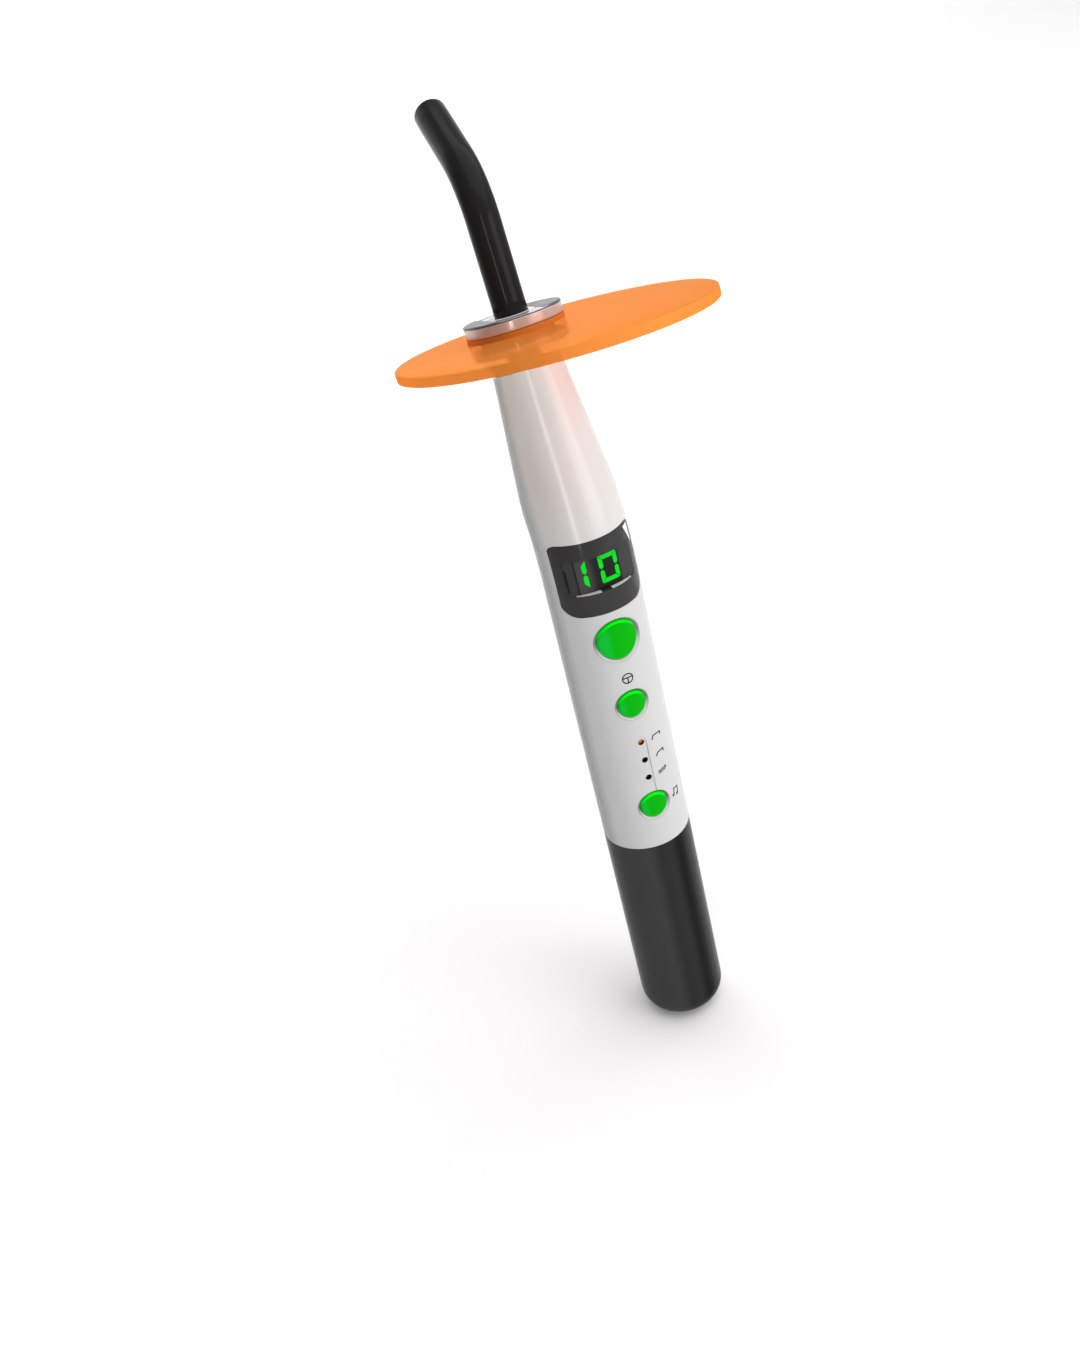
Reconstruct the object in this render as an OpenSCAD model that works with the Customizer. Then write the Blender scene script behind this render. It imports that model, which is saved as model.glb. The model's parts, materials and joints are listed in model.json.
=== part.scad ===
// Cordless dental curing light, standing on its tail. +Z runs up the handle, the display faces -Y,
// and the head leans back towards +Y. The origin is the centre of the tail's flat end. Millimetres.

/* [Handle] */
// Outer diameter of the handle
handle_d = 25; // [24:0.1:28]
// Length of the battery pack, from the tail to the joint line
pack_len = 70; // [68:0.5:80]
// Rounding radius of the tail
tail_round = 6.6; // [3:0.1:7]
// Height above the joint line at which the handle starts to lean back
bend_start = 84.5; // [83:0.5:88]
// Wall thickness of the white shell
shell_wall = 1.6; // [1.4:0.1:2]

/* [Neck and head] */
// Lean of the neck from the handle's axis, in degrees
neck_tilt = 16.6; // [12:0.1:20]
// Lean of the head, with its collar, eye shield and light guide, in degrees
head_tilt = 14; // [10:0.5:18]
// Centre-line radius of the bend between handle and neck
bend_r = 60; // [50:1:70]
// Length of the neck beyond the bend
neck_len = 45.3; // [43:0.1:52]
// Outer diameter of the neck, extended to its end
neck_top_d = 16.5; // [16.4:0.1:18]
// Rise from the neck's end to the top face of the eye shield
head_rise = 1.2; // [0:0.1:2]

/* [Collar] */
// Outer diameter of the silver collar
collar_d = 25; // [24:0.1:28]
// Height of the collar's top above the eye shield's top face
collar_h = 4.4; // [4:0.1:5]
// Height of the two raised lobes above the collar's channel
lobe_h = 0.4; // [0.4:0.1:0.8]
// Width of the channel between the lobes
channel_w = 12; // [11:0.1:13]

/* [Light guide] */
// Outer diameter of the light guide
guide_d = 8.58; // [8:0.02:8.6]
// Straight stretch from the eye shield's top face to the bend
guide_straight = 26.3; // [20:0.1:40]
// Centre-line radius of the bend
guide_bend_r = 19.7; // [14:0.1:30]
// Angle of the bend, in degrees
guide_bend = 54; // [30:1:60]
// Straight stretch beyond the bend
guide_tip = 20.1; // [12:0.1:30]
// Turn of the light guide about its foot at rest, in degrees
guide_turn = -2.9; // [-10:0.1:10]

/* [Eye shield] */
// Width of the oval eye shield
shield_w = 73; // [60:1:80]
// Length of the oval eye shield
shield_l = 96; // [80:1:110]
// Distance from the hole to the middle of the eye shield
shield_offset = 18; // [0:0.5:25]
// Turn of the eye shield about the collar at rest, in degrees
shield_turn = 10.9; // [-30:0.1:30]
// Thickness of the eye shield
shield_t = 2.5; // [2:0.1:3]
// Height of the round boss on the eye shield, under the collar
boss_h = 1.2; // [0.6:0.1:1.4]

/* [Display] */
// Height of the lower edge of the display cover above the joint line
cover_z = 77.9; // [76:0.1:80]
// Height of the display cover
cover_h = 20.7; // [20:0.1:21]
// Lean of the display cover's outline, in degrees
cover_lean = 3; // [0:0.5:4]
// Width of the display cover across the handle
cover_w = 22.2; // [20:0.1:22.4]
// Width of the screen
screen_w = 18.4; // [16:0.1:18.6]
// Height of the screen
screen_h = 9.6; // [9:0.1:10.5]
// Height of the screen's lower edge above the joint line
screen_low = 83.6; // [83:0.1:86]

/* [Controls] */
// Diameter of the power button
power_d = 11.3; // [9:0.1:12]
// Diameter of the time and mode buttons
key_d = 7.95; // [6:0.05:9]
// Height of the power button above the joint line
power_z = 69.1; // [66:0.1:70]
// Height of the time button above the joint line
time_z = 48.6; // [44:0.1:50]
// Height of the mode button above the joint line
mode_z = 14.2; // [14:0.1:16]
// Travel of each button
key_travel = 0.6; // [0.3:0.05:0.65]
// Height of the top mode lamp above the joint line
lamp_z = 35.9; // [34:0.1:37]
// Spacing of the mode lamps
lamp_pitch = 6; // [5:0.1:6.5]
// Diameter of each mode lamp
lamp_d = 1.5; // [1:0.1:1.8]

/* [Hidden] */
$fn = 96;
eps = 0.01;
R = handle_d / 2;
bore_r = R - shell_wall;
run_gap = 0.05;
seam = 0.1;
bend_z = pack_len + bend_start;
neck_y = bend_r * (1 - cos(neck_tilt)) + neck_len * sin(neck_tilt);
neck_z = bend_z + bend_r * sin(neck_tilt) + neck_len * cos(neck_tilt);
head_y = neck_y + head_rise * sin(head_tilt);
head_z = neck_z + head_rise * cos(head_tilt);

// the neck's taper starts with an arc; heights in its own frame, where 0 is the neck's end
neck_taper_start = 8;
neck_r = neck_top_d / 2;
neck_slope = (R - neck_r) / (neck_len - neck_taper_start / 2);
shoulder_angle = atan(neck_slope);
shoulder_arc_r = neck_taper_start / sin(shoulder_angle);
neck_joint = -8;
step = 0.02;
overlap = 0.3;

// the head's flange and bore, in the head's frame, where 0 is the eye shield's top face
flange_r = 12;
flange_top = -shield_t - seam;
flange_edge = 1.4;
flare_r = 5.6;
flare_foot_r = neck_r + 0.2;
flare_z = flange_top - flange_edge - flare_r;
neck_bore_r = 7;
neck_bore_z = -17;

// collar, socket and guide foot
collar_r = collar_d / 2;
hub_r = 9.4;
spigot_r = neck_bore_r - run_gap;
spigot_z = -11;
bead_z = -7.6;
bead_h = 1.2;
bead_out = 0.3;
socket_r = 6;
guide_r = guide_d / 2;
guide_bore_r = guide_r + run_gap;
core_r = 3.3;
sheath_bore_r = core_r + 0.05;
foot_z = spigot_z + 1.9;
channel_z = collar_h - lobe_h;
collar_edge = 0.4;
ferrule_top = channel_z - 0.7;
clip_z = -4.6;
clip_wire_r = 0.42;
clip_r = guide_bore_r + clip_wire_r + 0.06;
clip_opening = 40;
clip_groove_h = 1.1;

// optics stack in the neck
reflector_z = -13.7;
star_t = 1.6;
star_r = 6.6;
sink_top = reflector_z - star_t;
sink_base_t = 2.6;
sink_len = 26;
sink_core_r = 4;
fin_t = 1;
fin_count = 10;
wire_notch_w = 3.4;
emitter_w = 4.8;
dome_r = 1.6;
cup_low_r = 3.6;
cup_top_r = 5.4;

// display
cover_gap = 0.08;
cover_t = 1.3;
cover_top_r = 1.8;
cover_low_r = 3.6;
screen_z = screen_low + screen_h / 2 - bend_start;
screen_face_r = 17.9;
screen_face_y = 11;
screen_back_y = 7.2;
module_size = [16.8, 3.8, 10.8];

// seven-segment figures
digit_w = 5.2;
digit_h = 7.5;
segment_w = 1.1;
segment_gap = 0.12;
digit_pitch = 8.55;
digit_x = 2.2;
digit_lift = 0.5;
digit_raise = 0.08;

// buttons and their switches, along -Y
board_y = -4.6;
board_t = 1.2;
switch_h = 1.6;
switch_w = 6;
plunger_r = 1.2;
plunger_spare = 0.15;
plunger_top = board_y - switch_h - key_travel - plunger_spare;
plunger_len = 1.6;
stem_len = 0.95;
button_base_y = plunger_top - stem_len;
flange_out = 0.8;
flange_skin_r = bore_r - 0.2;
button_gap = 0.2;
stem_r = 1.6;
ring_w = 0.9;
ring_depth = 0.9;
groove_w = 2.9;
groove_depth = 0.22;
hole_slack = 0.15;
lamp_front_y = -R + 1.1;
lamp_base = 1.6;
lamp_base_t = 0.6;

// inside the handle
deck_z = pack_len + 9.6;
chassis_r = bore_r - 0.2;
chassis_top = pack_len + 77;
chassis_d = 10.6;
rib_heights = [12, 43, 74];
rib_t = 2;
board_w = 17.6;
board_low = pack_len + 10.5;
driver_y = 3.6;
driver_size = [15.2, 1.2, 58];
driver_low = pack_len + 16;
coil_z = pack_len + 56;
coil_r = 3.6;
coil_h = 3.2;
chip_low = pack_len + 52;
chip_w = 7;
chip_t = 1.2;
buzzer_z = pack_len + 33;
buzzer_r = 4.5;
buzzer_h = 4;
buzzer_hole_r = 0.8;
screw_x = 6.9;
screw_heights = [13, 75];
screw_r = 0.7;
screw_head_r = 1.3;
screw_head_h = 0.8;
carrier_z = pack_len + 7.2;
carrier_t = 2;
pin_r = 0.95;
pin_x = 5;
wire_r = 0.5;

// inside the battery pack
case_bore_r = 9.5;
case_floor = 4.5;
spigot_len = 6;
cell_r = 9.1;
cell_z = 13;
cell_len = 48.5;
cap_top = pack_len + spigot_len - 0.7;
cap_t = 2;
contact_t = 0.35;
contact_r = 2;
contact_half = 1;
seal_wire_r = 0.45;
seal_r = bore_r - run_gap - 0.02 - seal_wire_r;
seal_z = pack_len + 2.95;
seal_groove_h = 1.1;
terminal_r = 3.2;
terminal_h = 1.4;
disc_r = case_bore_r - 0.2;
disc_t = 1.2;
charge_x = 3.4;
charge_r = 1.2;
charge_board_z = case_floor + 0.5;
spring_r = 5.5;
spring_wire_r = 0.4;
spring_turns = 4;
spring_steps = 20;

// ---------------------------------------------------------------- frames and shared shapes

// the head's own frame: +Z along the light guide's foot, origin in the eye shield's top face
module at_head() {
    translate([0, head_y, head_z]) rotate([-head_tilt, 0, 0]) children();
}

// the neck's frame: +Z along the neck, origin at its end
module at_neck() {
    translate([0, neck_y, neck_z]) rotate([-neck_tilt, 0, 0]) children();
}

// a point of the head's frame, in the handle's frame
function head_point(x, y, z) = [
    x,
    head_y + y * cos(head_tilt) + z * sin(head_tilt),
    head_z - y * sin(head_tilt) + z * cos(head_tilt)
];

// the frame of the leaning wall at a height above the bend's start
module at_bend(height) {
    lean = asin(height / bend_r);
    translate([0, bend_r * (1 - cos(lean)), bend_z + height]) rotate([-lean, 0, 0]) children();
}

// a cylinder that points to the front, its base at y = back and its end at y = front
module forward(r, back, front) {
    translate([0, back, 0]) rotate([90, 0, 0]) cylinder(r = r, h = back - front);
}

module tube(r_out, r_in, h) {
    difference() {
        cylinder(r = r_out, h = h);
        translate([0, 0, -eps]) cylinder(r = r_in, h = h + 2 * eps);
    }
}

// handle, bend and neck as one solid, drawn in by inset; the neck ends at neck_top
module handle_solid(inset, bottom, neck_top) {
    r = R - inset;
    translate([0, 0, bottom]) cylinder(r = r, h = bend_z + overlap - bottom);
    translate([0, bend_r, bend_z]) rotate([90, 0, -90])
        rotate_extrude(angle = neck_tilt) translate([bend_r, 0]) circle(r = r - step);
    at_neck() {
        translate([0, 0, -neck_len - overlap]) cylinder(r = r, h = 2 * overlap);
        rotate_extrude() neck_profile(inset, neck_top);
    }
}

// half-section of the neck: a shoulder arc that runs into a straight taper
module neck_profile(inset, neck_top) {
    arc_r = shoulder_arc_r - inset;
    arc_x = R - shoulder_arc_r;
    arc_h = arc_r * sin(shoulder_angle);
    intersection() {
        translate([arc_x, -neck_len]) circle(r = arc_r, $fn = 360);
        translate([0, -neck_len]) square([R, arc_h]);
    }
    polygon([
        [0, arc_h - neck_len],
        [arc_x + arc_r * cos(shoulder_angle), arc_h - neck_len],
        [neck_r - neck_slope * neck_top - inset / cos(shoulder_angle), neck_top],
        [0, neck_top]
    ]);
}

// square window prism with its own corner radii, looking along -Y, centred on x = 0
module window_prism(w, h, top_r, low_r) {
    rotate([90, 0, 0]) linear_extrude(height = R + 5) union() {
        translate([-w / 2 + low_r, 0]) square([w - 2 * low_r, h]);
        translate([-w / 2 + top_r, low_r]) square([w - 2 * top_r, h - low_r]);
        translate([-w / 2, low_r]) square([w, h - low_r - top_r]);
        for (side = [-1, 1]) {
            translate([side * (w / 2 - low_r), low_r]) circle(r = low_r);
            translate([side * (w / 2 - top_r), h - top_r]) circle(r = top_r);
        }
    }
}

// round wire along a list of points; its sides are set out from across, which it never runs along
module wire(points, r, across = [0.3, 1, 0.05], sides = 8) {
    count = len(points);
    function along(i) = points[min(i + 1, count - 1)] - points[max(i - 1, 0)];
    function side_of(t) = let (s = cross(t, across)) s / norm(s);
    rings = [
        for (i = [0:count - 1])
            let (t = along(i) / norm(along(i)), u = side_of(t), v = cross(t, u))
            for (k = [0:sides - 1])
                points[i] + r * (cos(360 * k / sides) * u + sin(360 * k / sides) * v)
    ];
    walls = [
        for (i = [0:count - 2]) for (k = [0:sides - 1])
            let (n = (k + 1) % sides)
            [i * sides + k, (i + 1) * sides + k, (i + 1) * sides + n, i * sides + n]
    ];
    first = [for (k = [0:sides - 1]) k];
    last = [for (k = [sides - 1:-1:0]) (count - 1) * sides + k];
    polyhedron(points = rings, faces = concat(walls, [first, last]), convexity = 4);
}

// outline of the display cover, drawn in by gap, as a prism that leans with the handle
module cover_prism(gap) {
    translate([0, -R, pack_len + cover_z]) rotate([-cover_lean, 0, 0]) translate([0, R, gap])
        window_prism(cover_w - 2 * gap, cover_h - 2 * gap, cover_top_r, cover_low_r);
}

// ---------------------------------------------------------------- handle

module button_opening(z, d) {
    translate([0, 0, z]) forward(d / 2 + button_gap, 0, -R - 1);
    difference() {
        translate([0, 0, z]) forward(d / 2 + ring_w, 0, -R - 1);
        translate([0, 0, z - d]) cylinder(r = R - ring_depth, h = 2 * d);
    }
}

module body_shell() {
    color("whitesmoke") difference() {
        union() {
            handle_solid(0, pack_len, neck_joint);
            at_head() rotate_extrude() difference() {
                translate([0, flare_z]) square([flange_r, flange_top - flare_z]);
                translate([flare_foot_r + flare_r, flare_z]) circle(r = flare_r);
            }
        }
        translate([0, 0, pack_len - 1]) cylinder(r = bore_r, h = bend_z - pack_len + 1);
        handle_solid(shell_wall, bend_z - 1, neck_bore_z);
        at_head() translate([0, 0, neck_bore_z - 3])
            cylinder(r = neck_bore_r, h = flange_top - neck_bore_z + 4);
        at_head() translate([0, 0, bead_z - 0.1])
            cylinder(r = spigot_r + bead_out + 0.2, h = bead_h + 0.2);
        cover_prism(0);
        button_opening(pack_len + power_z, power_d);
        button_opening(pack_len + time_z, key_d);
        button_opening(pack_len + mode_z, key_d);
        lamp_groove();
        for (i = [0:2]) translate([0, 0, pack_len + lamp_z - i * lamp_pitch])
            forward(lamp_d / 2 + hole_slack, 0, -R - 1);
    }
}

// shallow groove that the mode lamps lie in, down to the mode button
module lamp_groove() {
    low = pack_len + mode_z;
    high = pack_len + lamp_z;
    difference() {
        union() {
            translate([-groove_w / 2, -R - 1, low]) cube([groove_w, R, high - low]);
            translate([0, 0, high]) forward(groove_w / 2, -1, -R - 1);
        }
        translate([0, 0, low - 1]) cylinder(r = R - groove_depth, h = high - low + 5);
    }
}

// ---------------------------------------------------------------- display

module screen_block(grow) {
    at_bend(screen_z) intersection() {
        translate([0, screen_face_r - screen_face_y, -screen_h])
            cylinder(r = screen_face_r, h = 2 * screen_h);
        translate([-screen_w / 2 - grow, -R - 1, -screen_h / 2 - grow])
            cube([screen_w + 2 * grow, R + 1 - screen_back_y, screen_h + 2 * grow]);
    }
}

module display_cover() {
    color("dimgray") difference() {
        intersection() {
            handle_solid(0, pack_len + 60, neck_joint);
            cover_prism(cover_gap);
        }
        handle_solid(cover_t, pack_len + 60, neck_bore_z);
        at_bend(screen_z) translate([-screen_w / 2 - run_gap, -R - 1, -screen_h / 2 - run_gap])
            cube([screen_w + 2 * run_gap, R, screen_h + 2 * run_gap]);
    }
}

module display_screen() {
    color("black") screen_block(0);
}

// a segment with its outer side up; an end at a corner is mitred, the others are pointed
module segment(length, corner_first, corner_last) {
    half = segment_w / 2;
    first = corner_first ? [[half, -half], [-half, half]] : [[half, -half], [0, 0], [half, half]];
    last = corner_last
        ? [[length + half, half], [length - half, -half]]
        : [[length - half, half], [length, 0], [length - half, -half]];
    polygon(concat(first, last));
}

// a seven-segment figure; on lists its lit segments clockwise from the top
module figure(on) {
    w = digit_w - segment_w;
    h = (digit_h - segment_w) / 2;
    starts = [
        [-w / 2, h, 0], [w / 2, h, -90], [w / 2, 0, -90],
        [w / 2, -h, 180], [-w / 2, -h, 90], [-w / 2, 0, 90]
    ];
    lengths = [w, h, h, w, h, h];
    corner_first = [true, true, false, true, true, false];
    corner_last = [true, false, true, true, false, true];
    for (i = [0:5]) if (on[i])
        translate([starts[i][0], starts[i][1]]) rotate(starts[i][2]) translate([segment_gap, 0])
            segment(lengths[i] - 2 * segment_gap, corner_first[i], corner_last[i]);
}

module display_digits() {
    color("lime") at_bend(screen_z) intersection() {
        translate([0, screen_face_r - screen_face_y, -screen_h])
            tube(screen_face_r + digit_raise, screen_face_r, 2 * screen_h);
        rotate([90, 0, 0]) linear_extrude(height = R + 1) {
            translate([digit_x - digit_pitch, digit_lift]) figure([0, 1, 1, 0, 0, 0]);
            translate([digit_x, digit_lift]) figure([1, 1, 1, 1, 1, 1]);
        }
    }
}

module display_module() {
    color("ivory") at_bend(screen_z) translate([0, -screen_back_y + module_size[1] / 2, 0])
        cube(module_size, center = true);
}

// ---------------------------------------------------------------- buttons and switches

module button(z, d) {
    color("limegreen") translate([0, 0, pack_len + z]) {
        intersection() {
            forward(d / 2, button_base_y, -R - 1);
            translate([0, 0, -d]) cylinder(r = R + 0.1, h = 2 * d);
        }
        intersection() {
            forward(d / 2 + flange_out, button_base_y, -R - 1);
            translate([0, 0, -d]) cylinder(r = flange_skin_r, h = 2 * d);
        }
        forward(stem_r, plunger_top, button_base_y - 0.5);
    }
}

module power_button() { button(power_z, power_d); }
module time_button() { button(time_z, key_d); }
module mode_button() { button(mode_z, key_d); }

module plunger(z) {
    color("black") translate([0, 0, pack_len + z])
        forward(plunger_r, plunger_top + plunger_len, plunger_top);
}

module power_plunger() { plunger(power_z); }
module time_plunger() { plunger(time_z); }
module mode_plunger() { plunger(mode_z); }

module tact_switch(z) {
    color("silver") translate([0, 0, pack_len + z]) difference() {
        translate([-switch_w / 2, board_y - switch_h, -switch_w / 2])
            cube([switch_w, switch_h, switch_w]);
        forward(plunger_r + run_gap, board_y - 0.08, board_y - switch_h - 1);
    }
}

module power_switch() { tact_switch(power_z); }
module time_switch() { tact_switch(time_z); }
module mode_switch() { tact_switch(mode_z); }

module mode_lamp(i, tint) {
    color(tint) translate([0, 0, pack_len + lamp_z - i * lamp_pitch]) {
        forward(lamp_d / 2, board_y - lamp_base_t, lamp_front_y);
        translate([-lamp_base / 2, board_y - lamp_base_t, -lamp_base / 2])
            cube([lamp_base, lamp_base_t, lamp_base]);
    }
}

module mode_lamp_1() { mode_lamp(0, "orange"); }
module mode_lamp_2() { mode_lamp(1, "dimgray"); }
module mode_lamp_3() { mode_lamp(2, "dimgray"); }

// ---------------------------------------------------------------- electronics

module main_board() {
    color("darkgreen") difference() {
        translate([-board_w / 2, board_y, board_low]) cube([board_w, board_t, chassis_top - board_low]);
        for (h = screw_heights) for (side = [-1, 1])
            translate([side * screw_x, 0, pack_len + h]) forward(screw_r + run_gap, 0, -R);
    }
}

module microcontroller() {
    color("black") translate([-chip_w / 2, board_y + board_t, chip_low])
        cube([chip_w, chip_t, chip_w]);
}

module buzzer() {
    color("black") translate([0, 0, buzzer_z]) difference() {
        forward(buzzer_r, board_y + board_t + buzzer_h, board_y + board_t);
        forward(buzzer_hole_r, board_y + board_t + buzzer_h + 1, board_y + board_t + buzzer_h - 1);
    }
}

module driver_board() {
    color("darkgreen") translate([-driver_size[0] / 2, driver_y, driver_low]) cube(driver_size);
}

module driver_coil() {
    color("saddlebrown") translate([0, 0, coil_z])
        forward(coil_r, driver_y + driver_size[1] + coil_h, driver_y + driver_size[1]);
}

module chassis() {
    color("gainsboro") difference() {
        intersection() {
            translate([0, 0, deck_z]) cylinder(r = chassis_r, h = chassis_top - deck_z);
            union() {
                for (side = [0, 1]) mirror([side, 0, 0])
                    translate([board_w / 2 + seam, board_y - 0.6, deck_z])
                        cube([R, chassis_d, chassis_top - deck_z]);
                for (h = rib_heights) translate([-R, board_y + board_t, pack_len + h])
                    cube([2 * R, driver_y - board_y - board_t, rib_t]);
            }
        }
        for (h = screw_heights) for (side = [-1, 1])
            translate([side * screw_x, 0, pack_len + h]) forward(screw_r, driver_y + 1, -R);
    }
}

// four screws, each a shank and a head, that hold the main board to the chassis
module chassis_screws() {
    color("silver") for (h = screw_heights) for (side = [-1, 1])
        translate([side * screw_x, 0, pack_len + h]) {
            forward(screw_r, 0, board_y - 0.1);
            forward(screw_head_r, board_y, board_y - screw_head_h);
        }
}

module contact_carrier() {
    color("ivory") translate([0, 0, carrier_z]) difference() {
        cylinder(r = bore_r - run_gap, h = carrier_t);
        for (x = [0, pin_x]) translate([x, 0, -1]) cylinder(r = pin_r + run_gap, h = carrier_t + 2);
    }
}

module contact_pins() {
    low = cap_top + contact_t;
    color("gold") for (x = [0, pin_x])
        translate([x, 0, low]) cylinder(r = pin_r, h = carrier_z + carrier_t - low);
}

module battery_wires() {
    top = carrier_z + carrier_t;
    color("red") for (x = [0, pin_x]) wire([
        [x, 0, top], [x, 0, top + 0.2], [x + 1, -0.6, top + 1.4],
        [x + 1.2, -1.8, top + 2.2], [x + 1.2, board_y + board_t + wire_r, top + 2.4]
    ], wire_r * 0.6);
}

module led_wires() {
    color("firebrick") for (x = [-0.8, 0.8]) wire([
        [x, driver_y + 0.6, pack_len + 74],
        [x, driver_y + 1.0, pack_len + 77],
        [x, driver_y + 3.6, pack_len + 87],
        head_point(x, 5.8, -42),
        head_point(x, 5.4, -30),
        head_point(x, 5.4, -15.4)
    ], wire_r);
}

// ---------------------------------------------------------------- light source

module heat_sink() {
    color("silver") at_head() difference() {
        union() {
            translate([0, 0, sink_top - sink_base_t]) cylinder(r = star_r, h = sink_base_t);
            translate([0, 0, sink_top - sink_len]) cylinder(r = sink_core_r, h = sink_len);
            for (i = [0:fin_count - 1]) rotate(360 * (i + 0.5) / fin_count)
                translate([sink_core_r - 0.5, -fin_t / 2, sink_top - sink_len])
                    cube([star_r - sink_core_r, fin_t, sink_len - 1]);
        }
        translate([-wire_notch_w / 2, sink_core_r + 0.6, sink_top - sink_len - 1])
            cube([wire_notch_w, 4, sink_len + 2]);
    }
}

module led_star_board() {
    color("white") at_head() translate([0, 0, sink_top]) difference() {
        cylinder(r = star_r, h = star_t);
        translate([-wire_notch_w / 2, sink_core_r + 0.6, -1]) cube([wire_notch_w, 4, 1.4]);
    }
}

module led_emitter() {
    color("royalblue") at_head() translate([0, 0, reflector_z]) {
        translate([-emitter_w / 2, -emitter_w / 2, 0]) cube([emitter_w, emitter_w, dome_r / 2]);
        intersection() {
            translate([0, 0, dome_r / 2]) sphere(r = dome_r);
            translate([-dome_r - 1, -dome_r - 1, dome_r / 4])
                cube([2 * dome_r + 2, 2 * dome_r + 2, 2 * dome_r]);
        }
    }
}

module reflector() {
    height = spigot_z - 0.2 - reflector_z;
    color("silver") at_head() translate([0, 0, reflector_z]) difference() {
        cylinder(r = star_r, h = height);
        translate([0, 0, -eps]) cylinder(r1 = cup_low_r, r2 = cup_top_r, h = height + 2 * eps);
    }
}

// ---------------------------------------------------------------- collar, swivelling on the neck

module head_collar() {
    edge = collar_edge;
    low = boss_h + seam;
    color("silver") at_head() difference() {
        union() {
            rotate_extrude() union() {
                translate([0, low]) square([collar_r, collar_h - edge - low]);
                translate([0, low]) square([collar_r - edge, collar_h - low]);
                translate([collar_r - edge, collar_h - edge]) circle(r = edge);
            }
            translate([0, 0, -shield_t]) cylinder(r = hub_r, h = shield_t + low);
            translate([0, 0, spigot_z]) cylinder(r = spigot_r, h = -spigot_z - shield_t);
            translate([0, 0, bead_z]) cylinder(r = spigot_r + bead_out, h = bead_h);
        }
        translate([0, 0, spigot_z - 1]) cylinder(r = socket_r, h = 20);
        translate([-channel_w / 2, -2 * R, channel_z]) cube([channel_w, 4 * R, 3]);
    }
}

module guide_socket() {
    color("white") at_head() difference() {
        translate([0, 0, spigot_z]) cylinder(r = socket_r - 0.02, h = channel_z - spigot_z);
        translate([0, 0, foot_z]) cylinder(r = guide_bore_r, h = 20);
        translate([0, 0, spigot_z - 1]) cylinder(r = core_r + 0.6, h = 20);
        translate([0, 0, clip_z - clip_groove_h / 2])
            cylinder(r = clip_r + clip_wire_r + 0.1, h = clip_groove_h);
    }
}

module spring_clip() {
    color("silver") at_head() translate([0, 0, clip_z]) rotate(clip_opening / 2)
        rotate_extrude(angle = 360 - clip_opening) translate([clip_r, 0]) circle(r = clip_wire_r);
}

// ---------------------------------------------------------------- light guide, pulled out of the collar

module guide_foot(r_out, r_in, low, high) {
    at_head() translate([0, 0, low]) tube(r_out, r_in, high - low);
}

// from height low, straight, round the bend and out to the tip; solid when r_in is 0
module guide_run(r_out, r_in, low, tip_len) {
    at_head() rotate(guide_turn) difference() {
        guide_rod(r_out, low, tip_len);
        if (r_in > 0) guide_rod(r_in, low - 1, tip_len + 1);
    }
}

module guide_rod(r, low, tip_len) {
    bend_end_y = guide_bend_r * (1 - cos(guide_bend));
    bend_end_z = guide_straight + guide_bend_r * sin(guide_bend);
    translate([0, 0, low]) cylinder(r = r, h = guide_straight + overlap - low);
    translate([0, guide_bend_r, guide_straight]) rotate([90, 0, -90])
        rotate_extrude(angle = guide_bend) translate([guide_bend_r, 0]) circle(r = r - step);
    translate([0, bend_end_y, bend_end_z]) rotate([-guide_bend, 0, 0])
        translate([0, 0, -overlap]) cylinder(r = r, h = tip_len + overlap);
}

module guide_ferrule() {
    color("silver") guide_foot(guide_r, sheath_bore_r, foot_z + 0.05, ferrule_top - 0.02);
}

module guide_sheath() {
    color("black") guide_run(guide_r, sheath_bore_r, ferrule_top, guide_tip);
}

module guide_core() {
    color("lightblue") guide_run(core_r, 0, foot_z + 0.05, guide_tip);
}

// ---------------------------------------------------------------- eye shield

module oval(w, l) {
    polygon([for (a = [0:3:357]) [w / 2 * cos(a), l / 2 * sin(a)]]);
}

module eye_shield() {
    color("darkorange") at_head() rotate(shield_turn) translate([0, 0, -shield_t]) difference() {
        union() {
            linear_extrude(height = shield_t) translate([0, -shield_offset]) oval(shield_w, shield_l);
            cylinder(r = collar_r - run_gap, h = shield_t + boss_h);
        }
        translate([0, 0, -1]) cylinder(r = hub_r + run_gap, h = shield_t + boss_h + 2);
    }
}

// ---------------------------------------------------------------- battery pack, pulled out of the shell

module pack_case() {
    color("black") difference() {
        union() {
            rotate_extrude() intersection() {
                square([R, pack_len - seam]);
                union() {
                    translate([0, tail_round]) square([R, pack_len]);
                    square([R - tail_round, pack_len]);
                    translate([R - tail_round, tail_round]) circle(r = tail_round);
                }
            }
            translate([0, 0, tail_round])
                cylinder(r = bore_r - run_gap, h = pack_len + spigot_len - tail_round);
        }
        translate([0, 0, case_floor]) cylinder(r = case_bore_r, h = pack_len + spigot_len);
        translate([0, 0, seal_z - seal_groove_h / 2]) tube(R, seal_r - seal_wire_r, seal_groove_h);
        for (side = [-1, 1]) translate([side * charge_x, 0, -1])
            cylinder(r = charge_r + 0.02, h = case_floor + 2);
    }
}

module pack_seal() {
    color("dimgray") translate([0, 0, seal_z])
        rotate_extrude() translate([seal_r, 0]) circle(r = seal_wire_r);
}

module pack_end_cap() {
    color("dimgray") translate([0, 0, cap_top - cap_t]) difference() {
        cylinder(r = case_bore_r - run_gap, h = cap_t);
        for (x = [-pin_x, 0]) translate([x, 0, -1]) cylinder(r = wire_r + 0.02, h = cap_t + 2);
    }
}

module pack_contacts() {
    color("gold") translate([0, 0, cap_top]) {
        cylinder(r = contact_r, h = contact_t);
        tube(pin_x + contact_half, pin_x - contact_half, contact_t);
    }
}

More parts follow.
